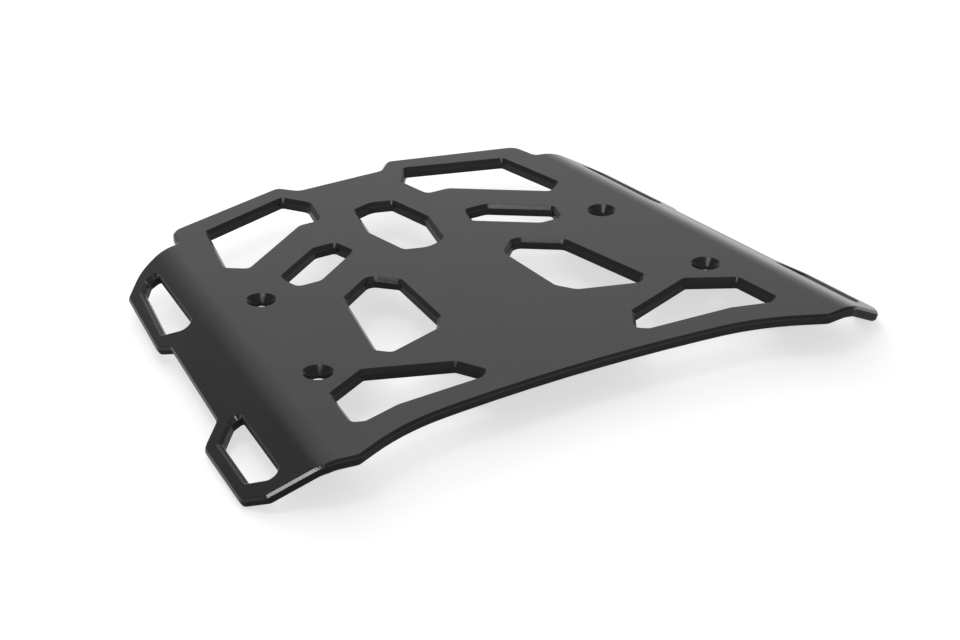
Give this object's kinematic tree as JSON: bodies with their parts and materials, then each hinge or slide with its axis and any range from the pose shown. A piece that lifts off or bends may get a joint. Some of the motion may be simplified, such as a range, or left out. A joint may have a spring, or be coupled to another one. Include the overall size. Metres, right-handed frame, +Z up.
{
  "type": "motorcycle luggage rack",
  "caption": "Motorcycle luggage rack: a flat black plate with large windows, bent-down side wings with grab slots, and countersunk mounting holes.",
  "frame": {"origin": "middle of the mounting holes, on the underside of the flat field", "axes": "+X to the right, +Y to the rear of the motorcycle, +Z up, out of the load face"},
  "size_m": [0.3724, 0.2879, 0.026],
  "materials": {
    "coated_plate": "fine matt powder coat"
  },
  "bodies": {
    "root": {"rack_plate": "coated_plate"}
  },
  "joints": []
}
